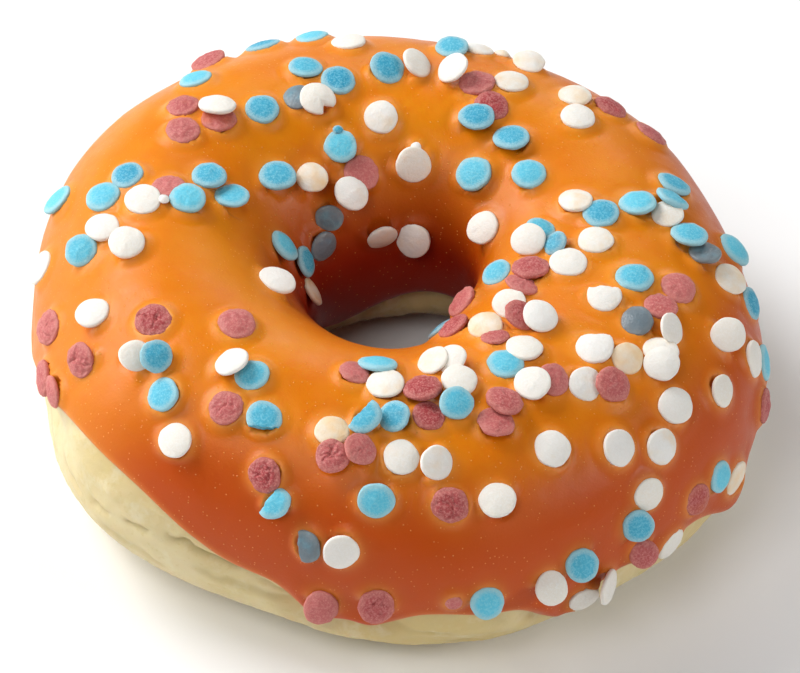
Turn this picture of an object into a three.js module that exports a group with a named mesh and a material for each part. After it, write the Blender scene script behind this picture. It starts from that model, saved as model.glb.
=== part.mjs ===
// A ring doughnut of yeast dough with a dipped cap of set icing.
// Millimetres, +Z up. The origin is at the bottom centre of the bounding box, and the flat foot lies on z = 0.
//
// Ring angle: 0 along +X, counter-clockwise seen from above.
// Tube angle: 0 points outward from the ring, 90 is the crown, 180 faces into the hole and 270 is the foot.

import * as THREE from "three";
import { ParametricGeometry } from "three/addons/geometries/ParametricGeometry.js";

// ---- driving dimensions
const OUTER_RADIUS = 44; // of the iced ring at its widest level
const HOLE_RADIUS = 9.7; // of the iced hole at its narrowest level
const BELLY_HEIGHT = 15.4; // the widest level above the foot
const CROWN_HEIGHT = 17.2; // the crown above the widest level
const BELLY_DEPTH = 16.04; // how deep the belly's curve would reach if the foot weren't flat
const BELLY_FULLNESS = 0.884; // below 1 makes the belly fuller than an ellipse
const HOLE_STEEPNESS = 0.922; // below 1 makes the wall of the hole steeper
const HOLE_LEAN = [-0.308, -0.072]; // sideways travel of the hole per millimetre of height
const ICING_THICKNESS = 1.3;
const EDGE_ROUND = 1.6; // length over which the icing's edge rounds off
const ICING_GAP = 0.3; // between the dough and the icing
const EDGE_CLEAR = 0.7; // bare dough next to the icing's edge that stays as low as its bed
const BELLY_RAMP = 4; // length over which the bare dough then swells out
const MEAN_TUBE_RADIUS = 17; // turns tube angles into lengths

// ---- uneven rising: [waves round the ring, share of the size, ring angle of the first crest]
const OUTER_LOBES = [[2, 0.0116, -2], [3, 0.004, -17], [4, 0.0037, -36], [5, 0.0085, 0], [6, 0.0111, -14]];
const HOLE_LOBES = [[1, 0.104, 96], [2, 0.072, 54], [3, 0.106, 46]];
const CROWN_LOBES = [[1, 0.04, 89]];
// Where the bare dough bulges: [ring angle, spread, height in millimetres]
const DOUGH_BULGES = [[228, 20, 0.9], [20, 30, 0.4], [120, 35, 0.5]];

// ---- the icing's outer edge, as a tube angle, and its drips and lifts: [ring angle, spread, drop in degrees]
const OUTER_EDGE = -6;
const EDGE_RUNS = [
  [218, 10, -17], [234, 8, -12], [264.5, 3.2, 17], [273, 3.4, 13], [291, 3, 2], [304, 4, 21], [322, 4, 6], [339, 4.5, 11],
  [358, 5, 4], [14, 5, 12], [33, 5, 2], [47, 4, 16], [66, 6, 6], [84, 4.5, 17], [103, 6, 3], [121, 4.5, 15], [142, 6, 7], [158, 4.5, 14], [176, 6, 3], [192, 4.5, 10],
];
// ---- its inner edge, low on the wall of the hole
const INNER_EDGE = 200;
const INNER_RUNS = [[80, 22, -6], [140, 14, 12], [200, 16, 6], [250, 14, -3], [300, 16, 8], [350, 12, 2]];

// ---- facets
const SLICES = 96;
const COVERED = [0, 0.045, 0.11, 0.2, 0.3, 0.4, 0.5, 0.6, 0.7, 0.8, 0.89, 0.955, 1]; // stations of the iced stretch
const EDGE_STATION = 0.4; // length from the edge to the extra station that rounds it
const FOOT = [253, 270, 287]; // tube angles between which the foot is flat
const INNER_BARE = [0.15, 0.4, 0.7]; // stations of the bare dough, from the icing to the foot
const OUTER_BARE = [0.3, 0.55, 0.75, 0.9];

const RAD = Math.PI / 180;
const waves = (list, ring) => list.reduce((sum, [k, share, at]) => sum + share * Math.cos(k * (ring - at) * RAD), 0);
const hump = (ring, at, spread) => {
  const d = ((((ring - at) % 360) + 540) % 360) - 180;
  return Math.exp(-0.5 * (d / spread) ** 2);
};
const humps = (list, ring) => list.reduce((sum, [at, spread, height]) => sum + height * hump(ring, at, spread), 0);
const power = (v, p) => Math.sign(v) * Math.abs(v) ** p;

const outerEdge = (ring) => OUTER_EDGE - humps(EDGE_RUNS, ring);
const innerEdge = (ring) => INNER_EDGE + humps(INNER_RUNS, ring);

// A point of the doughnut's skin, moved in towards the middle of the tube by inset.
function skin(ring, tube, inset) {
  const outer = OUTER_RADIUS * (1 + waves(OUTER_LOBES, ring));
  const hole = HOLE_RADIUS * (1 + waves(HOLE_LOBES, ring));
  const crown = CROWN_HEIGHT * (1 + waves(CROWN_LOBES, ring));
  const middle = (outer + hole) / 2;
  const half = (outer - hole) / 2;
  const c = Math.cos(tube * RAD);
  const s = Math.sin(tube * RAD);
  let along = half * power(c, s < 0 ? BELLY_FULLNESS : c < 0 ? HOLE_STEEPNESS : 1);
  let up = s < 0 ? -BELLY_DEPTH * Math.abs(s) ** BELLY_FULLNESS : crown * s;
  const length = Math.hypot(along, up);
  along -= (inset * along) / length;
  up -= (inset * up) / length;
  up = Math.max(up, -BELLY_HEIGHT);
  const lean = ((1 - c) / 2) ** 1.5 * up;
  const a = ring * RAD;
  return [
    (middle + along) * Math.cos(a) + HOLE_LEAN[0] * lean,
    (middle + along) * Math.sin(a) + HOLE_LEAN[1] * lean,
    up + BELLY_HEIGHT,
  ];
}

// The icing thins to nothing at its edges in a quarter round.
function roundOff(length) {
  const t = Math.min(1, Math.max(0, 1 - length / EDGE_ROUND));
  return ICING_THICKNESS * (1 - Math.sqrt(1 - t * t));
}
const toLength = (degrees) => degrees * RAD * MEAN_TUBE_RADIUS;

// How far the dough lies inside the skin: under the icing, and rising again past its edges.
function doughInset(ring, tube) {
  const from = outerEdge(ring);
  const to = innerEdge(ring);
  const bed = ICING_THICKNESS + ICING_GAP;
  if (tube >= from && tube <= to) return bed;
  const past = toLength(Math.min(tube > to ? tube - to : 360, Math.abs(from - (tube > to ? tube - 360 : tube))));
  const t = Math.min(1, Math.max(0, (past - EDGE_CLEAR) / BELLY_RAMP));
  const out = t * t * (3 - 2 * t);
  const low = (((tube + 180) % 360) + 360) % 360 - 180; // -180..180
  const belly = humps(DOUGH_BULGES, ring) * Math.exp(-0.5 * ((low + 24) / 16) ** 2);
  return bed * (1 - out) - belly * out;
}

// The tube angle of a station of the iced stretch: it follows the edges near them, and is the same all round at the crown.
const covered = (from, to, u) =>
  OUTER_EDGE + (INNER_EDGE - OUTER_EDGE) * u + (from - OUTER_EDGE) * (1 - u) ** 4 + (to - INNER_EDGE) * u ** 4;

// One slice of each piece, as a closed chain of points.
function icingSlice(ring) {
  const from = outerEdge(ring);
  const to = innerEdge(ring);
  const tubes = COVERED.map((u) => covered(from, to, u));
  const step = EDGE_STATION / (MEAN_TUBE_RADIUS * RAD);
  tubes.splice(1, 0, from + step);
  tubes.splice(tubes.length - 1, 0, to - step);
  const outside = tubes.map((t) => skin(ring, t, roundOff(Math.min(toLength(t - from), toLength(to - t)))));
  const inside = COVERED.slice(1, -1).map((u) => skin(ring, covered(from, to, u), ICING_THICKNESS)).reverse();
  return [...outside, ...inside];
}

function doughSlice(ring) {
  const from = outerEdge(ring);
  const to = innerEdge(ring);
  const tubes = [
    ...COVERED.map((u) => covered(from, to, u)),
    ...INNER_BARE.map((u) => to + (FOOT[0] - to) * u),
    ...FOOT,
    ...OUTER_BARE.map((u) => FOOT[2] + (from + 360 - FOOT[2]) * u),
  ];
  return tubes.map((t) => skin(ring, t, doughInset(ring, t)));
}

// A closed ring swept through its slices.
function ringGeometry(slice) {
  const slices = Array.from({ length: SLICES }, (_, i) => slice((i * 360) / SLICES));
  const stations = slices[0].length;
  const point = (u, v, target) => {
    const p = slices[Math.round(u * SLICES) % SLICES][Math.round(v * stations) % stations];
    target.set(p[0], p[1], p[2]);
  };
  return new ParametricGeometry(point, SLICES, stations);
}

const doughMaterial = new THREE.MeshStandardMaterial({ name: "dough", color: 0xe2d6a4, roughness: 0.8, metalness: 0 });
const icingMaterial = new THREE.MeshStandardMaterial({ name: "icing", color: 0xe27a12, roughness: 0.3, metalness: 0 });

const dough = new THREE.Mesh(ringGeometry(doughSlice), doughMaterial);
dough.name = "dough";
const icing = new THREE.Mesh(ringGeometry(icingSlice), icingMaterial);
icing.name = "icing";

const doughnut = new THREE.Group();
doughnut.name = "doughnut";
doughnut.add(dough, icing);

// The frame's origin is under the middle of the bounding box.
const box = new THREE.Box3();
for (const mesh of [dough, icing]) {
  mesh.geometry.computeBoundingBox();
  box.union(mesh.geometry.boundingBox);
}
const middle = box.getCenter(new THREE.Vector3());
for (const mesh of [dough, icing]) mesh.position.set(-middle.x, -middle.y, 0);

export default doughnut;
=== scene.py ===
# Sprinkle frosted ring doughnut: looks, floor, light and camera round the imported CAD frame.
import math

import bpy
import numpy as np
from mathutils import Matrix, Vector


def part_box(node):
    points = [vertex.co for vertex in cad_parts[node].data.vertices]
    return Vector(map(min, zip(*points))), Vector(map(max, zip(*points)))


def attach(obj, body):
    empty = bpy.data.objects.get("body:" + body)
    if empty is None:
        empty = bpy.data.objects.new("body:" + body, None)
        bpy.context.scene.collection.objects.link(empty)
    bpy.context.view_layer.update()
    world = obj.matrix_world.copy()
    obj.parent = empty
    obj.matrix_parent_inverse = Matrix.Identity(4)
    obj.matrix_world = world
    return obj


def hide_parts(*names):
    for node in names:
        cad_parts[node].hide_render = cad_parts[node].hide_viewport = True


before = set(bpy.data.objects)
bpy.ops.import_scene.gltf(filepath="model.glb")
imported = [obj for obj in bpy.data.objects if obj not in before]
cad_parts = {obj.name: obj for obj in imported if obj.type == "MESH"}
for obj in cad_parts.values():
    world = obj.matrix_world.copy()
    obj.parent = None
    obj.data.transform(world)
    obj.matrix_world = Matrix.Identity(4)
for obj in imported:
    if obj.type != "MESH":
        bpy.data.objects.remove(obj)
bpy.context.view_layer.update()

RAD = math.pi / 180
MM = 0.001

# ---------------------------------------------------------------- the form, in millimetres, as the CAD has it
# Ring angle: 0 along +X, counter-clockwise from above. Tube angle: 0 outward, 90 the crown, 180 into the hole, 270 the foot.
OUTER_RADIUS = 44
HOLE_RADIUS = 9.7
BELLY_HEIGHT = 15.4
CROWN_HEIGHT = 17.2
BELLY_DEPTH = 16.04
BELLY_FULLNESS = 0.884
HOLE_STEEPNESS = 0.922
HOLE_LEAN = (-0.308, -0.072)
MEAN_TUBE_RADIUS = 17
OUTER_LOBES = [(2, 0.0116, -2), (3, 0.004, -17), (4, 0.0037, -36), (5, 0.0085, 0), (6, 0.0111, -14)]
HOLE_LOBES = [(1, 0.104, 96), (2, 0.072, 54), (3, 0.106, 46)]
CROWN_LOBES = [(1, 0.04, 89)]
DOUGH_BULGES = [(228, 20, 0.9), (20, 30, 0.4), (120, 35, 0.5)]
OUTER_EDGE = -6
EDGE_RUNS = [
    (218, 10, -17), (234, 8, -12), (264.5, 3.2, 17), (273, 3.4, 13), (291, 3, 2), (304, 4, 21), (322, 4, 6), (339, 4.5, 11),
    (358, 5, 4), (14, 5, 12), (33, 5, 2), (47, 4, 16), (66, 6, 6), (84, 4.5, 17), (103, 6, 3), (121, 4.5, 15), (142, 6, 7), (158, 4.5, 14), (176, 6, 3), (192, 4.5, 10),
]
INNER_EDGE = 200
INNER_RUNS = [(80, 22, -6), (140, 14, 12), (200, 16, 6), (250, 14, -3), (300, 16, 8), (350, 12, 2)]
ICING_BED = 1.6  # how far under the skin the dough lies below the icing

# ---------------------------------------------------------------- the sprinkles
# Pressed sugar discs, placed on the side the reference shows:
# (ring angle, tube angle, height of the disc's middle over the icing in mm, lean along the ring, lean along the tube, size)
# film: how much icing lies over it. crack: how crumbly it is. cut: broken off at (angle in its own plane, share of its radius).
SPRINKLE_RADIUS = 2.2
BLUE = [
    (114.3, 53.8, 0.35, 0.09, 0.12, 0.95), (123.3, 47.5, 0.35, 0.09, 0.11, 1.03), (142.0, 61.5, 0.35, 0.06, 0.09, 0.92), (119.5, 84.2, 0.35, -0.04, -0.08, 0.97),
    (111.7, 94.2, 0.35, 0.02, 0.03, 0.97), (98.2, 90.0, 0.35, -0.14, 0.24, 1.00), (136.7, 98.0, 0.35, 0.08, -0.09, 0.96), (114.2, 123.0, 0.35, 0.21, -0.20, 0.93),
    (175.3, 69.5, 0.35, 0.07, 0.09, 0.92), (180.5, 59.3, 0.35, 0.03, 0.30, 0.97), (181.8, 97.5, 0.82, 0.14, -0.16, 0.98), (169.3, 105.0, 0.35, 0.03, -0.41, 0.95),
    (172.3, 116.8, 0.35, -0.07, -0.60, 0.95), (147.3, 126.2, 0.35, 0.07, -0.54, 1.01), (173.7, 29.0, 0.35, -0.08, 0.22, 1.01), (192.0, 48.7, 0.35, 0.39, 0.32, 0.91),
    (169.5, 148.0, 0.35, -0.27, -0.26, 0.98), (160.2, 160.5, 0.35, -0.33, -0.09, 0.90), (85.5, 69.0, 0.35, 0.19, 0.32, 0.92), (67.7, 106.0, 0.92, 0.13, -0.12, 0.99),
    (54.7, 107.2, 0.35, 0.20, -0.26, 1.02), (56.7, 127.5, 0.35, 0.15, -0.15, 1.01), (40.2, 113.0, 0.35, -0.05, -0.28, 0.97), (17.0, 94.2, 0.35, 0.03, 0.08, 1.01),
    (19.5, 81.5, 0.35, 0.17, 0.28, 1.02), (27.2, 62.0, 0.35, 0.14, 0.01, 0.99), (20.7, 68.5, 0.92, 0.33, -0.11, 0.98), (14.5, 115.0, 0.35, 0.09, -0.47, 0.81),
    (6.2, 109.7, 0.35, -0.19, 0.39, 0.73, {"film": 0.3}), (11.2, 65.5, 0.82, 0.19, 0.31, 1.03), (15.7, 38.5, 0.35, -0.10, 0.27, 1.04), (358.0, 131.3, 0.35, -0.14, -0.21, 0.86),
    (355.2, 84.0, 0.35, 0.08, 0.08, 1.06), (5.0, 33.8, 0.35, -0.20, 0.01, 0.93), (224.5, 60.5, 1.01, 0.50, 0.29, 0.89), (229.5, 51.3, 0.35, -0.20, -0.03, 0.94),
    (242.0, 76.5, 0.35, -0.12, -0.09, 0.91), (248.3, 61.8, 0.35, 0.09, 0.17, 0.96, {"cut": (-70, 0.6)}), (254.8, 32.0, 0.35, -0.14, 0.41, 0.91, {"cut": (165, 0.3)}), (268.3, 74.5, 0.92, -0.29, -0.18, 0.96, {"cut": (148, 0.2)}),
    (275.0, 77.8, 0.35, -0.43, -0.10, 0.88), (271.5, 43.5, 0.35, 0.09, -0.29, 0.98), (272.7, 103.8, 0.35, -0.08, 0.26, 1.05), (289.3, 82.5, 1.21, 0.02, -0.38, 0.91),
    (308.3, 94.0, 0.35, -0.02, -0.00, 1.00), (356.8, 21.0, 0.35, -0.00, 0.00, 1.00), (315.7, 16.0, 0.64, -0.30, 0.22, 0.90), (334.7, 10.7, 0.35, 0.11, 0.18, 0.91),
    (304.8, 10.5, 0.54, -0.25, 0.39, 0.93), (289.7, 3.3, 0.35, 0.03, 0.47, 0.91), (124.7, 98.0, 0.10, 0.28, -0.20, 0.83, {"film": 0.7}), (130.7, 149.3, 0.35, 0.43, 0.12, 0.78, {"film": 0.75}),
    (141.3, 159.8, 0.35, -0.10, 0.14, 0.88, {"film": 0.75}), (8.2, 59.5, 0.35, 0.20, 0.46, 0.92, {"film": 0.75}), (342.3, 77.5, 0.35, -0.20, 0.22, 0.89, {"film": 0.8}), (261.3, 18.3, 0.35, -0.21, 0.15, 0.88, {"film": 0.7, "cut": (-159, 0.3)}),
    (310.7, 137.2, 0.35, -0.08, 0.17, 0.80, {"film": 0.4}), (114.2, 116.5, 0.54, 0.00, 0.00, 0.30),
]
WHITE = [
    (107.7, 68.5, 0.35, 0.07, 0.06, 0.95), (119.5, 102.2, 0.95, 0.01, 0.08, 0.99, {"bite": (112, 0.42)}), (147.5, 89.0, 1.11, -0.20, -0.20, 1.02), (97.8, 112.2, 0.35, 0.13, 0.01, 0.95, {"film": 0.2}),
    (114.5, 141.3, 1.10, -0.09, -0.40, 0.99, {"film": 0.1}), (183.5, 78.7, 0.64, 0.14, 0.02, 0.99), (131.7, 132.3, 0.35, 0.25, -0.40, 0.88, {"film": 0.45}), (188.8, 59.5, 0.35, -0.05, 0.37, 0.95),
    (195.7, 70.0, 0.82, 0.16, 0.21, 1.00), (185.8, 19.7, 0.35, 0.01, 0.13, 1.00), (169.5, 171.8, 0.35, -0.36, -0.23, 0.85, {"film": 0.5}), (210.8, 133.5, 0.35, 0.00, -0.48, 1.02),
    (206.8, 48.0, 0.35, 0.01, 0.39, 0.93), (99.8, 160.8, 0.35, -0.10, 0.43, 0.88, {"film": 0.15}), (80.0, 162.8, 0.35, 0.37, -0.14, 1.00, {"film": 0.15}), (80.8, 61.5, 0.35, 0.03, 0.08, 0.84, {"film": 0.2}),
    (91.0, 87.3, 0.35, -0.56, 0.11, 0.94), (81.5, 89.2, 0.92, 0.57, 0.22, 0.97), (70.3, 61.5, 0.35, -0.05, 0.40, 0.94, {"film": 0.25}), (68.3, 82.3, 0.35, 0.06, 0.01, 0.97, {"film": 0.25}),
    (76.2, 58.8, 0.35, -0.00, 0.00, 0.45, {"film": 0.4}), (56.2, 72.0, 0.35, 0.11, 0.20, 0.92, {"film": 0.3}), (50.0, 82.0, 0.35, 0.02, 0.09, 0.99, {"film": 0.1}), (81.8, 131.3, 0.35, -0.25, 0.24, 1.01, {"film": 0.12}),
    (23.3, 101.5, 0.35, 0.21, -0.01, 0.94, {"film": 0.3}), (16.7, 71.5, 0.35, -0.10, 0.45, 0.87, {"film": 0.1}), (36.8, 141.0, 0.35, -0.17, -0.32, 0.96), (9.3, 119.0, 0.82, -0.37, -0.23, 0.95),
    (7.0, 96.7, 0.35, 0.04, 0.00, 0.99, {"film": 0.25}), (357.7, 104.3, 0.35, -0.01, -0.14, 1.02, {"film": 0.05}), (346.3, 90.5, 0.35, -0.24, 0.03, 0.96, {"film": 0.1, "cut": (22, 0.5)}), (5.5, 47.8, 0.35, -0.12, 0.27, 0.99, {"film": 0.35}),
    (343.8, 67.2, 0.92, 0.07, -0.42, 0.88), (351.3, 48.5, 0.35, -0.49, 0.37, 0.97), (332.7, 114.7, 0.35, -0.27, -0.25, 0.91, {"film": 0.1}), (328.8, 100.3, 1.01, -0.03, -0.35, 0.98),
    (317.0, 113.5, 0.35, -0.26, -0.25, 0.93, {"film": 0.5}), (220.8, 55.0, 0.35, 0.38, 0.47, 0.89), (237.2, 76.0, 1.01, -0.42, 0.04, 0.94), (235.7, 39.2, 0.35, -0.10, 0.20, 0.94),
    (262.0, 66.0, 0.20, -0.05, 0.22, 0.91, {"film": 0.5}), (267.0, 20.3, 0.35, 0.26, -0.07, 0.98), (274.0, 92.7, 0.64, -0.16, -0.05, 1.02, {"film": 0.25}), (275.8, 61.8, 0.35, 0.04, 0.14, 0.96, {"film": 0.1}),
    (282.2, 60.5, 0.35, 0.40, -0.12, 0.93, {"film": 0.15}), (290.2, 105.7, 0.35, -0.49, -0.12, 0.89, {"film": 0.2}), (295.0, 103.5, 0.64, -0.43, -0.17, 0.89, {"film": 0.1}), (293.5, 93.2, 0.82, -0.10, -0.14, 0.97),
    (316.5, 95.5, 0.54, 0.07, 0.05, 1.00), (308.8, 81.8, 0.92, -0.28, 0.10, 1.00), (319.7, 72.8, 0.35, -0.09, -0.20, 0.95, {"film": 0.15}), (329.5, 81.5, 0.35, -0.22, 0.10, 1.03, {"cut": (40, 0.65)}),
    (332.0, 71.5, 0.35, -0.14, -0.17, 0.90, {"film": 0.55}), (338.3, 65.5, 0.35, -0.07, 0.34, 0.96, {"film": 0.2}), (335.0, 62.5, 0.92, -0.44, 0.21, 0.96), (331.7, 48.5, 0.35, -0.19, 0.13, 1.00),
    (342.0, 39.2, 0.35, 0.02, -0.20, 0.91), (353.8, 30.7, 0.35, -0.06, -0.13, 1.03), (304.7, 57.8, 0.35, -0.17, 0.13, 0.99), (317.0, 47.3, 0.35, 0.06, -0.08, 1.01),
    (324.8, 39.2, 0.35, -0.02, -0.15, 1.00, {"film": 0.2}), (291.7, 45.3, 0.35, -0.22, 0.39, 0.98), (319.2, 25.3, 0.35, -0.06, 0.05, 0.92), (339.5, 0.0, 0.35, 0.00, 0.00, 1.00, {"film": 0.4}),
    (324.3, -6.5, 0.35, 0.06, 0.06, 0.96), (310.2, -5.5, 0.82, 0.49, 0.25, 0.99), (299.5, 5.3, 0.35, 0.05, 0.71, 0.94), (307.2, -12.3, 0.35, -0.21, 0.08, 0.87),
    (183.7, 88.2, 0.92, 0.00, 0.00, 0.30), (82.5, 124.2, 0.54, 0.00, 0.00, 0.30),
]
ROSE = [
    (133.5, 42.2, 0.35, 0.20, 0.29, 1.01), (151.5, 75.0, 0.35, -0.01, 0.02, 0.93, {"film": 0.15}), (158.5, 85.2, 0.35, 0.04, 0.05, 0.95), (106.0, 134.5, 0.22, -0.09, -0.25, 0.99),
    (178.2, 90.0, 0.35, -0.12, -0.15, 0.92), (216.7, 68.8, 0.35, 0.07, 0.06, 0.99, {"crack": 1}), (230.0, 93.8, 0.35, -0.00, -0.11, 1.01), (200.3, 22.8, 0.35, 0.18, 0.09, 0.96, {"crack": 1}),
    (74.7, 90.0, 0.35, 0.14, -0.04, 1.01), (67.0, 97.8, 0.35, -0.15, -0.01, 0.97), (50.8, 62.0, 0.35, -0.04, 0.08, 0.97), (42.8, 53.5, 0.35, -0.00, -0.00, 1.00),
    (354.3, 116.0, 0.64, 0.20, -0.17, 1.02), (343.8, 115.5, 0.35, 0.31, -0.41, 0.91), (356.3, 69.3, 0.35, -0.06, 0.15, 0.99), (349.2, 73.3, 0.35, 0.03, 0.26, 0.91),
    (327.0, 106.0, 0.35, 0.24, -0.52, 0.96), (341.0, 143.5, 0.35, -0.25, -0.09, 0.97), (312.3, 128.2, 0.35, -0.22, 0.01, 0.93), (314.7, 106.8, 0.35, 0.09, 0.16, 0.79, {"film": 0.1}),
    (212.5, 35.2, 0.35, 0.33, -0.15, 0.93, {"crack": 1}), (205.8, 9.3, 0.35, 0.00, 0.00, 1.00), (210.3, 13.3, 0.35, 0.03, -0.20, 0.91), (240.8, 59.5, 0.35, -0.06, 0.07, 0.93, {"crack": 0.5}),
    (252.0, 40.8, 0.35, -0.14, -0.12, 0.93, {"crack": 1}), (263.0, 55.7, 1.05, 0.03, 0.20, 0.91, {"crack": 1}), (268.0, 61.0, 0.90, 0.40, 0.20, 0.88, {"crack": 0.5}), (265.8, 96.0, 0.35, 0.13, 0.10, 0.84),
    (265.3, -7.3, 0.35, 0.19, 0.55, 0.93), (273.5, -0.8, 0.35, 0.09, 0.45, 0.95, {"crack": 1}), (283.0, 90.8, 1.01, -0.16, 0.16, 1.02), (282.8, 80.0, 0.35, 0.10, 0.04, 0.88),
    (300.2, 79.8, 1.01, 0.14, 0.12, 0.99), (296.3, 73.5, 0.35, 0.02, 0.28, 0.99), (314.2, 79.8, 0.35, -0.04, -0.39, 0.89), (323.7, 67.2, 0.92, -0.11, -0.19, 0.97),
    (352.0, 10.0, 0.35, -0.00, 0.00, 1.00), (283.8, 44.8, 0.35, -0.15, -0.17, 0.97, {"crack": 1}), (317.3, -0.2, 0.35, -0.35, 0.47, 0.82), (329.0, 8.8, 0.35, -0.05, 0.16, 0.91, {"film": 0.3}),
    (284.8, 3.0, 0.35, 0.00, 0.00, 0.46), (149.3, 92.5, 0.35, 0.00, -0.13, 0.96, {"film": 0.35}),
]

HIDDEN_SIDE = 74  # further sprinkles, strewn where the listed ones don't reach


# ---------------------------------------------------------------- form functions
def waves(runs, ring):
    return sum(share * np.cos(k * (ring - at) * RAD) for k, share, at in runs)


def hump(ring, at, spread):
    d = np.mod(ring - at + 180, 360) - 180
    return np.exp(-0.5 * (d / spread) ** 2)


def humps(runs, ring):
    return sum(height * hump(ring, at, spread) for at, spread, height in runs)


def smooth(x):
    x = np.clip(x, 0, 1)
    return x * x * (3 - 2 * x)


def outer_edge(ring):
    return OUTER_EDGE - humps(EDGE_RUNS, ring)


def inner_edge(ring):
    return INNER_EDGE + humps(INNER_RUNS, ring)


def to_length(degrees):
    return degrees * RAD * MEAN_TUBE_RADIUS


def skin(ring, tube, inset=0.0):
    """Points of the doughnut's skin in mm, moved in towards the middle of the tube by inset."""
    ring, tube, inset = np.broadcast_arrays(np.asarray(ring, float), np.asarray(tube, float), np.asarray(inset, float))
    outer = OUTER_RADIUS * (1 + waves(OUTER_LOBES, ring))
    hole = HOLE_RADIUS * (1 + waves(HOLE_LOBES, ring))
    crown = CROWN_HEIGHT * (1 + waves(CROWN_LOBES, ring))
    middle, half = (outer + hole) / 2, (outer - hole) / 2
    c, s = np.cos(tube * RAD), np.sin(tube * RAD)
    power = np.where(s < 0, BELLY_FULLNESS, np.where(c < 0, HOLE_STEEPNESS, 1.0))
    along = half * np.sign(c) * np.abs(c) ** power
    up = np.where(s < 0, -BELLY_DEPTH * np.abs(s) ** BELLY_FULLNESS, crown * s)
    length = np.hypot(along, up)
    along, up = along - inset * along / length, up - inset * up / length
    up = np.maximum(up, -BELLY_HEIGHT)
    lean = ((1 - c) / 2) ** 1.5 * up
    return np.stack(
        [
            (middle + along) * np.cos(ring * RAD) + HOLE_LEAN[0] * lean,
            (middle + along) * np.sin(ring * RAD) + HOLE_LEAN[1] * lean,
            up + BELLY_HEIGHT,
        ],
        axis=-1,
    )


def unit(v):
    return v / np.maximum(np.linalg.norm(v, axis=-1, keepdims=True), 1e-12)


def axes_at(ring, tube):
    """The skin's outward normal, and its directions along the ring and along the tube."""
    e = 0.1
    a = skin(ring + e, tube) - skin(ring - e, tube)
    b = skin(ring, tube + e) - skin(ring, tube - e)
    n = unit(np.cross(a, b))
    a = unit(a - n * np.sum(a * n, axis=-1, keepdims=True))
    return n, a, np.cross(n, a)


# The frame's origin is under the middle of the CAD's box: the same facets as the CAD's icing give the shift.
def cad_shift():
    stations = np.array([0, 0.045, 0.11, 0.2, 0.3, 0.4, 0.5, 0.6, 0.7, 0.8, 0.89, 0.955, 1])
    ring = (np.arange(96) * 360 / 96)[:, None]
    start, stop = outer_edge(ring), inner_edge(ring)
    tube = OUTER_EDGE + (INNER_EDGE - OUTER_EDGE) * stations + (start - OUTER_EDGE) * (1 - stations) ** 4 + (stop - INNER_EDGE) * stations**4
    step = 0.4 / (MEAN_TUBE_RADIUS * RAD)
    tube = np.concatenate([tube, start + step, stop - step], axis=1)
    rim = np.minimum(to_length(tube - start), to_length(stop - tube))
    t = np.clip(1 - rim / 1.6, 0, 1)
    p = skin(ring, tube, 1.3 * (1 - np.sqrt(1 - t * t))).reshape(-1, 3)
    lo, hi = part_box("icing")
    made = (p.min(0) + p.max(0)) / 2
    return np.array([(lo[0] + hi[0]) / 2 / MM - made[0], (lo[1] + hi[1]) / 2 / MM - made[1], 0.0])


SHIFT = cad_shift()
print("shift mm", SHIFT)


# ---------------------------------------------------------------- noise
def hashed(i, seed):
    n = (i[..., 0] * 73856093) ^ (i[..., 1] * 19349663) ^ (i[..., 2] * 83492791) ^ (seed * 374761393)
    n = (n ^ (n >> 13)) * 1274126177 & 0xFFFFFFFF
    n = (n ^ (n >> 16)) * 668265263 & 0xFFFFFFFF
    return ((n ^ (n >> 15)) & 0xFFFFF) / 0x80000 - 1.0


def noise(p, seed=0):
    """Smooth noise, about -1 to 1, with a grain of 1."""
    i = np.floor(p).astype(np.int64)
    f = p - i
    f = f * f * f * (f * (f * 6 - 15) + 10)
    total = 0.0
    for dx in (0, 1):
        wx = f[..., 0] if dx else 1 - f[..., 0]
        for dy in (0, 1):
            wy = f[..., 1] if dy else 1 - f[..., 1]
            for dz in (0, 1):
                wz = f[..., 2] if dz else 1 - f[..., 2]
                total = total + wx * wy * wz * hashed(i + np.array([dx, dy, dz]), seed)
    return total


def layered(p, octaves, seed=0, gain=0.5):
    total, size = 0.0, 1.0
    for k in range(octaves):
        total = total + size * noise(p * 2.03**k + 17.3 * k, seed + k)
        size *= gain
    return total


# ---------------------------------------------------------------- meshes
def add_mesh(name, points_mm, quads, material, colours=None, shift=True):
    points = (points_mm + (SHIFT if shift else 0)) * MM
    mesh = bpy.data.meshes.new(name)
    mesh.vertices.add(len(points))
    mesh.vertices.foreach_set("co", points.astype(np.float32).ravel())
    sides = quads.shape[1]
    mesh.loops.add(quads.size)
    mesh.loops.foreach_set("vertex_index", quads.astype(np.int32).ravel())
    mesh.polygons.add(len(quads))
    mesh.polygons.foreach_set("loop_start", (np.arange(len(quads)) * sides).astype(np.int32))
    mesh.polygons.foreach_set("use_smooth", np.ones(len(quads), bool))
    mesh.update(calc_edges=True)
    mesh.validate()
    for key, values in (colours or {}).items():
        attribute = mesh.attributes.new(key, "FLOAT_COLOR", "POINT")
        rgba = np.ones((len(points), 4), np.float32)
        rgba[:, : values.shape[1]] = values
        attribute.data.foreach_set("color", rgba.ravel())
    mesh.materials.append(material)
    obj = bpy.data.objects.new(name, mesh)
    bpy.context.scene.collection.objects.link(obj)
    return obj


def ring_quads(n, m):
    """Quads of a closed grid, n slices of m stations, facing out."""
    i, j = np.meshgrid(np.arange(n), np.arange(m), indexing="ij")
    a, b = i * m + j, ((i + 1) % n) * m + j
    c, d = ((i + 1) % n) * m + (j + 1) % m, i * m + (j + 1) % m
    return np.stack([a, b, c, d], axis=-1).reshape(-1, 4)


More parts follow.
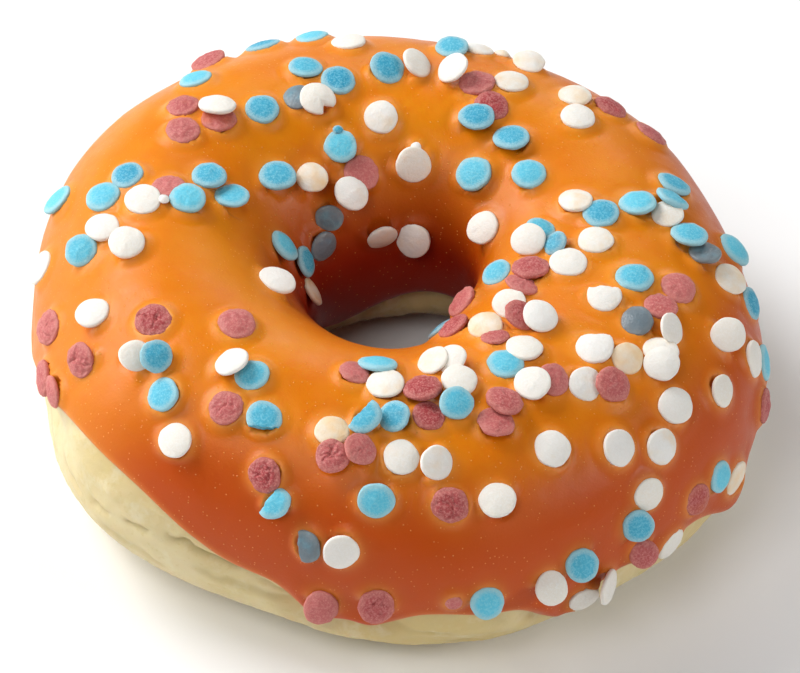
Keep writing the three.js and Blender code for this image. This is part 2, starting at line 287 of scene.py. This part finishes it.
# ---------------------------------------------------------------- where the sprinkles lie
def strewn(seed, count):
    """Seeded sprinkles for the icing that faces away from the listed ones, as (kind, row)."""
    rng = np.random.default_rng(seed)
    listed = [(row[0], row[1]) for rows in (BLUE, WHITE, ROSE) for row in rows]
    taken = [skin(r, t) for r, t in listed]
    seen_from = CAMERA_AT - SHIFT
    made = []
    for ring, tube in zip(rng.uniform(0, 360, 9000), rng.uniform(-2, 182, 9000)):
        if len(made) == count:
            break
        p = skin(ring, tube)
        # the ring is wider outside than inside, so fewer land inside
        if rng.uniform(0, 44) > np.hypot(p[0], p[1]):
            continue
        if tube < outer_edge(np.array(ring)) + 11:
            continue
        n, a, b = axes_at(np.array(ring), np.array(tube))
        if np.dot(n, unit(seen_from - p)) > -0.44:
            continue
        clear = min(np.linalg.norm(p - q) for q in taken)
        if clear < rng.choice([3.2, 4.7, 6.0], p=[0.15, 0.45, 0.4]):
            continue
        taken.append(p)
        lift = 0.35 + (0.5 if clear < 4.2 else 0.0)
        lean = rng.normal(0, 0.16, 2)
        kind = rng.choice(["blue", "white", "rose"], p=[0.33, 0.41, 0.26])
        extra = {}
        if rng.uniform() < 0.25:
            extra["film"] = round(rng.uniform(0.15, 0.6), 2)
        if kind == "rose":
            extra["crack"] = 1 if rng.uniform() < 0.4 else 0
        if rng.uniform() < 0.06:
            extra["cut"] = (rng.uniform(0, 360), rng.uniform(0.2, 0.6))
        made.append((kind, (ring, tube, lift, lean[0], lean[1], rng.uniform(0.92, 1.03), extra)))
    return made


class Disc:
    """One sprinkle: its middle, its own axes and its size."""

    def __init__(self, row, number):
        ring, tube, lift, lean_ring, lean_tube, self.size = row[:6]
        extra = row[6] if len(row) > 6 else {}
        self.film, self.crack, self.cut, self.bite = extra.get("film", 0), extra.get("crack", 0), extra.get("cut"), extra.get("bite")
        n, a, b = axes_at(np.array(float(ring)), np.array(float(tube)))
        w = math.sqrt(max(0.02, 1 - lean_ring**2 - lean_tube**2))
        self.up = unit(lean_ring * a + lean_tube * b + w * n)
        self.x = unit(a - self.up * np.dot(a, self.up))
        self.y = np.cross(self.up, self.x)
        self.skin = n
        self.radius = SPRINKLE_RADIUS * self.size
        # a leaning disc is held up enough for its low side to stay out of the icing
        lean = math.hypot(lean_ring, lean_tube)
        self.at = skin(ring, tube) + n * (lift + 0.1 + 0.75 * max(0, self.radius * lean - 0.35))
        self.number = number


# ---------------------------------------------------------------- the camera, which the strewn sprinkles look at too
CAMERA_RISE, CAMERA_ROLL, CAMERA_DISTANCE = 45.26, 8.62, 600.0  # degrees, degrees, mm from a point 17 mm above the foot
PIXELS_PER_MM = 8.286
e, roll = CAMERA_RISE * RAD, CAMERA_ROLL * RAD
forward = np.array([0, math.cos(e), -math.sin(e)])
right = np.array([1.0, 0, 0])
up = np.cross(right, forward)
camera_x = right * math.cos(roll) + up * math.sin(roll)
camera_y = -right * math.sin(roll) + up * math.cos(roll)
CAMERA_AT = np.array([0, 0, 17.0]) - forward * CAMERA_DISTANCE + camera_x * 0.414 - camera_y * 1.866 + SHIFT

camera_data = bpy.data.cameras.new("camera")
camera_data.sensor_width = 36
camera_data.lens = PIXELS_PER_MM * CAMERA_DISTANCE * 36 / 800
camera_data.clip_start, camera_data.clip_end = 0.01, 20
camera = bpy.data.objects.new("camera", camera_data)
bpy.context.scene.collection.objects.link(camera)
matrix = Matrix.Identity(4)
for k in range(3):
    matrix[k][0], matrix[k][1], matrix[k][2], matrix[k][3] = camera_x[k], camera_y[k], -forward[k], CAMERA_AT[k] * MM
camera.matrix_world = matrix
bpy.context.scene.camera = camera

DISCS = {"blue": [], "white": [], "rose": []}
number = 0
for kind, rows in (("blue", BLUE), ("white", WHITE), ("rose", ROSE)):
    for row in rows:
        number += 1
        DISCS[kind].append(Disc(row, number))
for kind, row in strewn(11, HIDDEN_SIDE):
    number += 1
    DISCS[kind].append(Disc(row, number))
EVERY_DISC = [d for rows in DISCS.values() for d in rows]
print("sprinkles", {k: len(v) for k, v in DISCS.items()})


# ---------------------------------------------------------------- node helpers
class Nodes:
    def __init__(self, name):
        self.material = bpy.data.materials.new(name)
        self.material.use_nodes = True
        self.tree = self.material.node_tree
        self.shader = self.tree.nodes["Principled BSDF"]
        self.output = self.tree.nodes["Material Output"]
        self.coords = self.tree.nodes.new("ShaderNodeTexCoord").outputs["Object"]

    def new(self, kind, links=(), **settings):
        node = self.tree.nodes.new(kind)
        for key, value in settings.items():
            setattr(node, key, value)
        for socket, value in dict(links).items():
            target = node.inputs[socket]
            if isinstance(value, bpy.types.NodeSocket):
                self.tree.links.new(value, target)
            else:
                target.default_value = value
        return node

    def link(self, a, socket):
        self.tree.links.new(a, self.shader.inputs[socket])

    def noise(self, per_mm, detail=2.0, roughness=0.5, **extra):
        """Noise with this many grains to the millimetre."""
        return self.new("ShaderNodeTexNoise", {"Vector": self.coords, "Scale": per_mm * 1000, "Detail": detail, "Roughness": roughness, **extra}).outputs["Fac"]

    def ramp(self, value, low, high, smooth_step=True, to=(0.0, 1.0)):
        node = self.new("ShaderNodeMapRange", {"Value": value, "From Min": low, "From Max": high, "To Min": to[0], "To Max": to[1]})
        node.interpolation_type = "SMOOTHSTEP" if smooth_step else "LINEAR"
        return node.outputs["Result"]

    def math(self, operation, a, b=0.0):
        node = self.tree.nodes.new("ShaderNodeMath")
        node.operation = operation
        for k, value in enumerate((a, b)):
            if isinstance(value, bpy.types.NodeSocket):
                self.tree.links.new(value, node.inputs[k])
            else:
                node.inputs[k].default_value = value
        return node.outputs[0]

    def mix(self, amount, a, b, blend="MIX"):
        node = self.tree.nodes.new("ShaderNodeMix")
        node.data_type = "RGBA"
        node.blend_type = blend
        for key, value in (("Factor_Float", amount), ("A_Color", a), ("B_Color", b)):
            socket = next(s for s in node.inputs if s.identifier == key)
            if isinstance(value, bpy.types.NodeSocket):
                self.tree.links.new(value, socket)
            else:
                socket.default_value = (*value, 1.0) if isinstance(value, tuple) and len(value) == 3 else value
        return next(s for s in node.outputs if s.identifier == "Result_Color")

    def attribute(self, name):
        node = self.new("ShaderNodeAttribute", attribute_name=name)
        split = self.new("ShaderNodeSeparateColor", {"Color": node.outputs["Color"]})
        return split.outputs

    def bump(self, height, strength, depth_mm, after=None):
        links = {"Height": height, "Strength": strength, "Distance": depth_mm * MM}
        if after is not None:
            links["Normal"] = after
        return self.new("ShaderNodeBump", links).outputs["Normal"]

    def set(self, **values):
        for key, value in values.items():
            self.shader.inputs[key.replace("_", " ")].default_value = value


# ---------------------------------------------------------------- materials
def icing_material():
    m = Nodes("icing")
    look = m.attribute("look")
    broad = m.noise(0.09, 3.0, 0.5)
    fine = m.noise(0.6, 4.0, 0.6)
    colour = m.mix(m.ramp(broad, 0.3, 0.7), (0.73, 0.19, 0.001), (0.77, 0.24, 0.0012))
    colour = m.mix(m.ramp(fine, 0.45, 0.75, to=(0.0, 0.25)), colour, (0.72, 0.145, 0.001))
    # painted shade: the icing is made a deeper, darker orange on the outer slope, less so on the side that faces the
    # key light
    low = m.ramp(m.math("ADD", look[2], m.math("MULTIPLY", m.math("SUBTRACT", broad, 0.5), 0.5)), 0.02, 0.98)
    colour = m.mix(low, colour, (0.52, 0.070, 0.001))
    # thin icing at the edge is paler; the pale ring where it climbs the sprinkles is a painted highlight
    colour = m.mix(m.math("MULTIPLY", look[0], 0.55), colour, (0.93, 0.42, 0.09))
    # painted shade: low on the wall of the hole the icing is darkened to a deep red-brown
    colour = m.mix(look[1], colour, (0.28, 0.004, 0.001))
    # sparse pale specks: painted glints (painted highlight) in the colour, bumped as well
    cells = m.new("ShaderNodeTexVoronoi", {"Vector": m.coords, "Scale": 2100.0, "Randomness": 1.0}, feature="F1")
    glint_spots = m.ramp(cells.outputs["Distance"], 0.06, 0.26, to=(1.0, 0.0))
    rare = m.ramp(m.new("ShaderNodeSeparateColor", {"Color": cells.outputs["Color"]}).outputs[0], 0.72, 0.78)
    speck = m.math("MULTIPLY", glint_spots, rare)
    colour = m.mix(m.math("MULTIPLY", speck, 0.5), colour, (1.0, 0.5, 0.13))
    m.link(colour, "Base Color")
    m.link(m.ramp(m.noise(0.35, 3.0, 0.6), 0.3, 0.7, to=(0.34, 0.44)), "Roughness")
    grain = m.noise(3.2, 3.0, 0.6)
    dimple = m.noise(0.9, 2.0, 0.5)
    normal = m.bump(speck, 1.0, 0.05)
    normal = m.bump(grain, 0.6, 0.05, normal)
    normal = m.bump(dimple, 0.3, 0.05, normal)
    m.link(normal, "Normal")
    m.set(Subsurface_Weight=0.2, Subsurface_Radius=(1.0, 0.3, 0.06), Subsurface_Scale=0.001, IOR=1.45, Specular_IOR_Level=0.3)
    return m.material


def dough_material():
    m = Nodes("dough")
    look = m.attribute("look")
    broad = m.noise(0.07, 3.0, 0.55)
    patch = m.noise(0.28, 4.0, 0.6)
    pale = (0.74, 0.63, 0.375)
    warm = (0.65, 0.51, 0.23)
    colour = m.mix(m.ramp(broad, 0.32, 0.68), pale, warm)
    colour = m.mix(m.ramp(patch, 0.5, 0.72, to=(0.0, 0.55)), colour, (0.79, 0.72, 0.51))
    colour = m.mix(m.ramp(m.noise(1.3, 3.0, 0.6), 0.56, 0.7, to=(0.0, 0.3)), colour, (0.60, 0.47, 0.2))
    # brown crust in the hole and under the foot, darkened to near black as painted shade in the hole; painted shade in
    # the creases
    colour = m.mix(look[0], colour, (0.11, 0.028, 0.012))
    # painted shade in the creases
    colour = m.mix(look[1], colour, (0.45, 0.34, 0.14))
    m.link(colour, "Base Color")
    m.link(m.ramp(patch, 0.3, 0.7, to=(0.5, 0.68)), "Roughness")
    normal = m.bump(m.noise(4.5, 3.0, 0.65), 0.5, 0.035)
    normal = m.bump(m.noise(1.4, 3.0, 0.6), 0.45, 0.07, normal)
    m.link(normal, "Normal")
    m.set(Subsurface_Weight=0.3, Subsurface_Radius=(1.0, 0.65, 0.3), Subsurface_Scale=0.0012, IOR=1.4, Specular_IOR_Level=0.35)
    return m.material


def sprinkle_material(name, core, powder, dust, film, dark, grainy, dusty):
    m = Nodes(name)
    look = m.attribute("look")  # tone, film, rim
    grain = m.noise(3.6, 2.0, 0.6)
    speck = m.noise(7.5, 1.0, 0.5)
    tone = m.mix(look[0], core, dark)
    colour = m.mix(m.ramp(grain, 0.42, 0.66, to=(0.0, grainy)), tone, powder)
    colour = m.mix(m.ramp(speck, 0.6, 0.72, to=(0.0, grainy)), colour, tuple(min(0.92, c * 1.1 + 0.06) for c in powder))
    # the powdery rim
    rim = m.ramp(m.math("ADD", look[2], m.math("MULTIPLY", m.math("SUBTRACT", speck, 0.5), 0.9)), 0.1, 0.95)
    colour = m.mix(m.math("MULTIPLY", rim, dusty), colour, dust)
    wet = m.ramp(m.math("ADD", look[1], m.math("MULTIPLY", m.math("SUBTRACT", m.noise(0.5, 2.0, 0.5), 0.5), 0.9)), 0.08, 0.8)
    colour = m.mix(m.math("MULTIPLY", wet, 0.85), colour, film)
    m.link(colour, "Base Color")
    m.link(m.math("SUBTRACT", 0.62, m.math("MULTIPLY", wet, 0.28)), "Roughness")
    normal = m.bump(grain, 0.75, 0.08)
    normal = m.bump(speck, 0.5, 0.03, normal)
    m.link(normal, "Normal")
    m.set(Subsurface_Weight=0.2, Subsurface_Radius=(1.0, 0.8, 0.7), Subsurface_Scale=0.0006, IOR=1.5, Specular_IOR_Level=0.4)
    return m.material


ICING = icing_material()
DOUGH = dough_material()
KINDS = {
    "blue": sprinkle_material("sprinkle_blue", (0.12, 0.57, 0.74), (0.30, 0.70, 0.80), (0.44, 0.63, 0.65), (0.17, 0.15, 0.155), (0.01, 0.28, 0.46), 0.35, 0.6),
    "white": sprinkle_material("sprinkle_white", (0.85, 0.83, 0.79), (0.89, 0.88, 0.85), (0.88, 0.83, 0.74), (0.86, 0.57, 0.25), (0.83, 0.78, 0.69), 0.4, 0.3),
    "rose": sprinkle_material("sprinkle_rose", (0.54, 0.14, 0.13), (0.66, 0.27, 0.24), (0.64, 0.26, 0.21), (0.55, 0.13, 0.04), (0.36, 0.035, 0.04), 0.5, 0.35),
}


# ---------------------------------------------------------------- the icing
SLICES = 640


def edge_distance(ring, tube, edge, per_degree):
    """Length from grid points (slices by stations) to the edge's curve, near the edge."""
    n = len(ring)
    line = to_length(edge)
    step = per_degree * 360 / n
    best = np.full(tube.shape, 1e9)
    length = to_length(tube)
    for k in range(-26, 27):
        other = np.roll(line, -k)[:, None]
        best = np.minimum(best, (k * step) ** 2 + (length - other) ** 2)
    return np.sqrt(best)


def make_icing():
    ring = np.arange(SLICES) * 360 / SLICES
    start, stop = outer_edge(ring), inner_edge(ring)
    near = np.array([0, 0.06, 0.16, 0.3, 0.48, 0.72, 1.0, 1.35]) / 61
    u = np.concatenate([near, np.linspace(1.75 / 61, 1 - 1.3 / 61, 118), 1 - np.array([0.9, 0.55, 0.3, 0.12, 0]) / 61])
    r = ring[:, None]
    a, b = start[:, None], stop[:, None]
    tube = OUTER_EDGE + (INNER_EDGE - OUTER_EDGE) * u + (a - OUTER_EDGE) * (1 - u) ** 4 + (b - INNER_EDGE) * u**4
    out = edge_distance(ring, tube, start, OUTER_RADIUS * RAD)
    inn = edge_distance(ring, tube, stop, HOLE_RADIUS * RAD)
    run = smooth(humps([h for h in EDGE_RUNS if h[2] > 0], r) / 16)
    # the lip is thin where the icing barely covers, thick where it has run down
    lip = 0.62 + 0.55 * run
    rounding = 0.9 + 0.7 * run
    t = np.clip(1 - out / rounding, 0, 1)
    inset = (lip + 0.12) * (1 - np.sqrt(1 - t * t))
    t = np.clip(1 - inn / 1.4, 0, 1)
    inset = inset + 0.9 * (1 - np.sqrt(1 - t * t))
    # a bead where it has run and set
    inset = inset - run * 0.42 * np.exp(-(((out - 1.7) / 1.1) ** 2)) + run * 0.12 * np.exp(-(((out - 4.2) / 1.4) ** 2))
    # the thick drip that stands out at the edge
    inset = inset - 1.15 * hump(r, 340, 3.0) * smooth(out / 1.0 + 0.15) * np.exp(-((np.maximum(out - 1.6, 0) / 2.0) ** 2))
    flat = skin(r, tube)
    soft = smooth(out / 2.5)
    relief = 0.15 * noise(flat / 9.0, 3) + 0.05 * noise(flat / 4.2, 4) + 0.02 * noise(flat / 1.9, 5)
    inset = inset - relief * soft
    normal = axes_at(np.broadcast_to(r, tube.shape), tube)[0]
    points = skin(r, tube, inset)

    # icing climbs the rims of the sprinkles that it holds
    lift = np.zeros(tube.shape)
    # pale: a painted highlight ring on the icing round each sprinkle it holds
    pale = np.zeros(tube.shape)
    for d in EVERY_DISC:
        rel = flat - d.at
        close = np.einsum("ijk,ijk->ij", rel, rel) < (d.radius + 2.4) ** 2
        v = rel[close]
        h = v @ d.up
        across = np.linalg.norm(v - h[:, None] * d.up, axis=1)
        if d.cut:
            angle = d.cut[0] * RAD
            side = v @ (d.x * math.cos(angle) + d.y * math.sin(angle))
            across = np.where(side > d.cut[1] * d.radius, across + (side - d.cut[1] * d.radius) * 0.6, across)
        gap = -h - 0.2
        held = smooth((1.25 - gap) / 0.6)
        amount = np.clip(gap + 0.25, 0.1, 0.55) * held
        away = np.maximum(across - d.radius, 0)
        climb = amount * np.exp(-((away / 0.62) ** 1.3)) - 0.05 * held * np.exp(-(((away - 1.3) / 0.5) ** 2))
        climb = np.where(across < d.radius - 0.35, np.minimum(climb, 0.05) - 0.25 * smooth((d.radius - 0.35 - across) / 0.5), climb)
        lift[close] = np.where(np.abs(climb) > np.abs(lift[close]), climb, lift[close])
        pale[close] = np.maximum(pale[close], held * np.exp(-away / 0.5) * (across > d.radius - 0.5))
    points = points + normal * (lift * smooth(out / 1.2))[..., None]

    # the underside, tucked into the dough
    w = np.array([0.97, 0.88, 0.75, 0.6, 0.45, 0.3, 0.15, 0.06, 0.02])
    low = OUTER_EDGE + (INNER_EDGE - OUTER_EDGE) * w + (a - OUTER_EDGE) * (1 - w) ** 4 + (b - INNER_EDGE) * w**4
    under = skin(r, low, ICING_BED + 0.25)
    every = np.concatenate([points, under], axis=1)
    look = np.zeros((SLICES, every.shape[1], 3))
    n = len(u)
    thin = 0.55 * (1 - smooth(out / 1.6)) * (1 - 0.4 * run)
    # paler thin edge, and the painted highlight rings round the sprinkles
    look[:, :n, 0] = np.clip(np.maximum(thin, 0.8 * pale), 0, 1)
    # painted shade deep in the hole
    look[:, :n, 1] = 0.95 * smooth((tube - 112) / 62)
    # painted shade on the outer slope, lessened on the side toward the key light
    look[:, :n, 2] = smooth((84 - tube) / 66) * (1 - 0.75 * smooth((np.cos((r - 165) * RAD) - 0.2) / 0.5))
    return add_mesh(
        "icing_cap", every.reshape(-1, 3), ring_quads(SLICES, every.shape[1]), ICING, {"look": look.reshape(-1, 3)}
    )


# ---------------------------------------------------------------- the dough
# creases: (ring angle from, to, tube angle from, to, depth in mm, half width in mm)
CREASES = [
    (238, 256, -2.5, -7.5, 0.55, 0.35), (231.5, 236.5, -6.5, -3.5, 0.4, 0.3), (254, 262, -9, -14, 0.35, 0.35), (224.5, 229, -10, -8, 0.3, 0.35),
    (214, 222, -10, -14, 0.25, 0.5), (243, 262, -13, -17, 0.25, 0.6), (226, 240, -17, -20, 0.22, 0.7), (275, 287, -18, -21, 0.2, 0.5),
    (4, 26, -16, -20, 0.4, 0.5), (60, 78, -15, -17, 0.45, 0.4), (95, 118, -12, -16, 0.5, 0.45), (130, 150, -18, -20, 0.35, 0.5), (170, 188, -13, -17, 0.45, 0.45),
    (200, 212, -16, -22, 0.3, 0.5), (40, 52, -30, -33, 0.3, 0.6), (285, 300, -32, -34, 0.25, 0.6), (150, 172, -34, -36, 0.3, 0.6),
]


def make_dough():
    ring = np.arange(SLICES) * 360 / SLICES
    r = ring[:, None]
    a, b = outer_edge(ring)[:, None], inner_edge(ring)[:, None]
    run = smooth(humps([h for h in EDGE_RUNS if h[2] > 0], r) / 16)
    u = np.array([0, 0.012, 0.03, 0.06, 0.12, 0.25, 0.4, 0.55, 0.7, 0.85, 0.95, 0.98, 1])
    covered = OUTER_EDGE + (INNER_EDGE - OUTER_EDGE) * u + (a - OUTER_EDGE) * (1 - u) ** 4 + (b - INNER_EDGE) * u**4
    inner = b + (253 - b) * np.linspace(0, 1, 18)[1:]
    foot = np.broadcast_to(np.array([258.5, 264, 270, 276, 281.5, 287]), (SLICES, 6))
    w = np.linspace(0, 1, 66)[1:-1]
    w = w + 0.06 * np.sin(np.pi * w) * (1 - w)
    outer = 287 + (a + 360 - 287) * w
    tube = np.concatenate([covered, inner, foot, outer], axis=1)
    wrapped = np.mod(tube + 180, 360) - 180

    inside = (tube >= a) & (tube <= b)
    out = edge_distance(ring, np.where(tube > b, tube - 360, tube), a[:, 0], OUTER_RADIUS * RAD)
    inn = edge_distance(ring, tube, b[:, 0], HOLE_RADIUS * RAD)
    past = np.minimum(np.where(inside, 1e9, out), np.where(inside, 1e9, inn))
    lip = 0.62 + 0.55 * run
    grown = smooth((past - 0.3) / 3.4)
    belly = humps(DOUGH_BULGES, r) * np.exp(-0.5 * ((wrapped + 24) / 16) ** 2)
    belly = belly + 0.6 * hump(r, 268, 8) * np.exp(-0.5 * ((wrapped + 34) / 9) ** 2) - 2.1 * hump(r, 205, 8.5) * np.exp(-0.5 * ((wrapped + 5) / 12) ** 2)
    bare = lip * (1 - grown) - belly * grown
    under = lip + (ICING_BED - lip) * smooth(np.minimum(out, inn) / 1.8)
    inset = np.where(inside, under, bare)

    flat = skin(r, tube)
    free = np.where(inside, 0, smooth(past / 0.8)) * smooth((flat[..., 2] - 0.2) / 2.2)
    # wrinkles run round the ring, so the noise is stretched that way
    along = r * RAD * OUTER_RADIUS
    cross = to_length(tube)
    wide = np.stack([np.cos(r * RAD) * 6 + 0 * tube, np.sin(r * RAD) * 6 + 0 * tube, cross / 2.6], axis=-1)
    relief = 0.17 * layered(wide, 3, 21) + 0.08 * layered(flat / 3.2, 3, 31)
    fold = 1 - np.abs(noise(wide * 1.6 + 5, 41))
    relief = relief - 0.08 * smooth((fold - 0.86) / 0.12)
    pits = noise(flat / 1.15, 51)
    relief = relief - 0.06 * smooth((pits - 0.52) / 0.25)
    crease = np.zeros(tube.shape)
    for from_ring, to_ring, from_tube, to_tube, depth, half in CREASES:
        middle, reach = (from_ring + to_ring) / 2, (to_ring - from_ring) / 2
        d = np.mod(r - middle + 180, 360) - 180
        share = np.clip((d + reach) / (2 * reach), 0, 1)
        line = from_tube + (to_tube - from_tube) * share + 1.1 * noise(np.stack([r * 0.5 + 0 * tube, 0 * tube + from_ring, 0 * tube], axis=-1), 61)
        ends = smooth((reach - np.abs(d)) / (0.35 * reach))
        away = to_length(wrapped - line)
        cut = depth * ends * np.exp(-((away / half) ** 2))
        lipped = 0.4 * depth * ends * np.exp(-(((away - 2.1 * half) / (1.4 * half)) ** 2))
        relief = relief - cut + lipped
        crease = np.maximum(crease, cut / 0.55)
    inset = inset - relief * free
    points = skin(r, tube, inset)
    points[..., 2] = np.maximum(points[..., 2], 0.0)
    look = np.zeros((*tube.shape, 2))
    # brown crust, and painted shade in the hole
    crust_and_hole_shade = smooth((tube - 205) / 25) * smooth((300 - tube) / 14)
    look[..., 0] = np.clip(crust_and_hole_shade * 0.8, 0, 1)
    # painted shade in the creases
    look[..., 1] = np.clip(crease, 0, 1) * 0.8
    return add_mesh("dough_ring", points.reshape(-1, 3), ring_quads(SLICES, tube.shape[1]), DOUGH, {"look": look.reshape(-1, 2)})


# ---------------------------------------------------------------- the sprinkles
def disc_shape(d, around, top, bottom, roughness):
    """Points and faces of one pressed sugar disc, in mm, about its own middle. Two poles close it."""
    rng = np.random.default_rng(1000 + d.number)
    angle = np.arange(around) * 2 * math.pi / around
    dome, edge = rng.uniform(0.26, 0.4), rng.uniform(0.27, 0.34)
    small = d.size < 0.5
    if small:
        dome, edge = 0.9, 0.4
    # a shallow dome over a rounded rim
    share = np.concatenate([np.sin(np.linspace(0, 1, top + 1)[1:] * math.pi / 2) * 0.9, [0.945, 0.978, 0.994, 1.0, 0.994, 0.97, 0.93], np.sin(np.linspace(1, 0, bottom + 1)[:-1] * math.pi / 2) * 0.88])
    high = np.concatenate([np.ones(top), [0.86, 0.62, 0.33, 0.0, -0.33, -0.66, -0.88], -np.ones(bottom)])
    z = np.where(np.abs(high) == 1, high * (edge + dome * (1 - (share / 0.9) ** 2) ** 0.95), high * edge)
    lobes = 1 + 0.022 * np.cos(2 * (angle - rng.uniform(0, 6.28))) + 0.016 * np.cos(3 * (angle - rng.uniform(0, 6.28))) + 0.01 * np.cos(5 * (angle - rng.uniform(0, 6.28)))
    if d.bite:
        away = np.mod(angle - d.bite[0] * RAD + math.pi, 2 * math.pi) - math.pi
        lobes = lobes - d.bite[1] * np.exp(-((away / 0.3) ** 4))
    s, a = np.meshgrid(share, angle, indexing="ij")
    body = np.stack([s * np.cos(a) * lobes, s * np.sin(a) * lobes, np.zeros_like(s)], axis=-1) * SPRINKLE_RADIUS
    body[..., 2] = z[:, None]
    poles = np.array([[0, 0, edge + dome], [0, 0, -edge - dome]])
    p = np.concatenate([body.reshape(-1, 3), poles])
    rim = np.concatenate([np.repeat(share, around), [0, 0]])
    # pressed faces are a little askew
    p[:, 2] += p[:, 0] * rng.normal(0, 0.025) + p[:, 1] * rng.normal(0, 0.025)
    out = unit(p * np.array([1, 1, 5.0]))
    seedling = rng.uniform(0, 100, 3)
    p = p + out * (roughness * (0.045 * noise(p / 0.75 + seedling, 71) + 0.03 * noise(p / 0.38 + seedling, 72)))[:, None]
    if d.crack:
        top_side = smooth((p[:, 2] - 0.1) / 0.3)
        p[:, 2] -= d.crack * 0.09 * top_side * smooth((noise(p / 0.5 + seedling, 73) - 0.1) / 0.4)
        for k in range(3):
            turn = rng.uniform(0, 6.28)
            side = p[:, 0] * math.cos(turn) + p[:, 1] * math.sin(turn) + 0.45 * noise(p / 0.9 + seedling + k, 74) - rng.uniform(-0.7, 0.7)
            reach = p[:, 0] * -math.sin(turn) + p[:, 1] * math.cos(turn)
            p[:, 2] -= d.crack * 0.2 * top_side * np.exp(-((side / 0.13) ** 2)) * smooth((reach + rng.uniform(0.2, 1.6)) / 0.5)
    if d.cut:
        turn, depth = d.cut[0] * RAD, d.cut[1] * SPRINKLE_RADIUS
        way, across = np.array([math.cos(turn), math.sin(turn)]), np.array([-math.sin(turn), math.cos(turn)])
        side, along = p[:, :2] @ way, p[:, :2] @ across
        jag = 0.14 * noise(np.stack([along / 0.5, p[:, 2] / 0.5, along * 0 + seedling[0]], axis=-1), 75) + 0.10 * noise(np.stack([along / 1.3, p[:, 2] / 2, along * 0 + seedling[1]], axis=-1), 76)
        limit = depth + jag
        over = side > limit
        p[over, :2] += (limit - side)[over, None] * way
        rim = np.where(over, 0.6, rim)
    p = p * d.size * (np.array([1, 1, 1.0]) if not small else 1)
    world = d.at + p[:, :1] * d.x + p[:, 1:2] * d.y + p[:, 2:3] * d.up
    rows = len(share)
    i, j = np.meshgrid(np.arange(rows - 1), np.arange(around), indexing="ij")
    quads = np.stack([i * around + j, (i + 1) * around + j, (i + 1) * around + (j + 1) % around, i * around + (j + 1) % around], axis=-1).reshape(-1, 4)
    j = np.arange(around)
    pole, foot = rows * around, rows * around + 1
    caps = np.concatenate([np.stack([np.full(around, pole), j, (j + 1) % around], axis=-1), np.stack([np.full(around, foot), (rows - 1) * around + (j + 1) % around, (rows - 1) * around + j], axis=-1)])
    look = np.zeros((len(p), 3))
    look[:, 0] = rng.uniform(0, 1) ** 1.5
    # the height over the icing is worked out but not used: the film is each disc's given share
    over = (world - (d.at - d.skin * np.dot(d.at - d.at, d.skin))) @ d.skin
    look[:, 1] = d.film
    look[:, 2] = smooth((rim - 0.45) / 0.55)
    return world, quads, caps, look


def make_sprinkles(kind, around, top, bottom, roughness):
    points, quads, tris, look, base = [], [], [], [], 0
    for d in DISCS[kind]:
        p, q, t, k = disc_shape(d, around, top, bottom, roughness)
        points.append(p)
        quads.append(q + base)
        tris.append(t + base)
        look.append(k)
        base += len(p)
    q, t = np.concatenate(quads), np.concatenate(tris)
    # quads are split so that one array of triangles makes the mesh
    faces = np.concatenate([q[:, [0, 1, 2]], q[:, [0, 2, 3]], t])
    return add_mesh("sprinkles_" + kind, np.concatenate(points), faces, KINDS[kind], {"look": np.concatenate(look)})


icing = make_icing()
dough = make_dough()
blue = make_sprinkles("blue", 44, 11, 5, 1.0)
white = make_sprinkles("white", 40, 10, 5, 0.7)
rose = make_sprinkles("rose", 54, 15, 5, 1.8)
for piece in (icing, dough, blue, white, rose):
    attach(piece, "root")
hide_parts("icing")
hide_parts("dough")

# the CAD's own solids are hidden behind these pieces, and carry the same finishes
for name, material in (("icing", ICING), ("dough", DOUGH)):
    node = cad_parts[name]
    for k in range(len(node.material_slots)):
        node.material_slots[k].material = material


# ---------------------------------------------------------------- floor and light
def floor_material():
    m = Nodes("floor")
    colour = m.mix(m.ramp(m.noise(0.02, 2.0, 0.5), 0.3, 0.7), (0.94, 0.94, 0.94), (0.96, 0.96, 0.96))
    m.link(colour, "Base Color")
    m.set(Roughness=0.9, Specular_IOR_Level=0.1)
    return m.material


half = 3000.0
floor = add_mesh("floor", np.array([[-half, -half, 0], [half, -half, 0], [half, half, 0], [-half, half, 0]]), np.array([[0, 1, 2, 3]]), floor_material(), shift=False)


def softbox(name, at_mm, size_mm, power, colour=(1, 1, 1), aim=(0, 0, 12)):
    data = bpy.data.lights.new(name, "AREA")
    data.shape, data.size, data.size_y = "RECTANGLE", size_mm[0] * MM, size_mm[1] * MM
    data.energy, data.color = power, colour
    obj = bpy.data.objects.new(name, data)
    bpy.context.scene.collection.objects.link(obj)
    obj.location = Vector(at_mm) * MM
    obj.rotation_euler = (Vector(aim) - Vector(at_mm)).to_track_quat("-Z", "Y").to_euler()
    return obj


def at(azimuth, rise, distance=1000):
    a, e = azimuth * RAD, rise * RAD
    return (distance * math.cos(e) * math.cos(a), distance * math.cos(e) * math.sin(a), distance * math.sin(e) + 12)


softbox("key", at(158, 40), (560, 480), 8.6)
softbox("left", at(178, 16), (420, 300), 3.1)
softbox("top", at(240, 52), (420, 420), 2.7)
softbox("back", at(88, 28), (450, 350), 1.7)
softbox("right", at(-8, 30), (420, 320), 2.8)
softbox("front", at(-48, 20), (420, 300), 0.7)

world = bpy.data.worlds.new("world")
world.use_nodes = True
background = world.node_tree.nodes["Background"]
background.inputs["Color"].default_value = (1, 1, 1, 1)
background.inputs["Strength"].default_value = 0.10
bpy.context.scene.world = world
bpy.context.scene.view_settings.view_transform = "Standard"
bpy.context.scene.view_settings.look = "None"
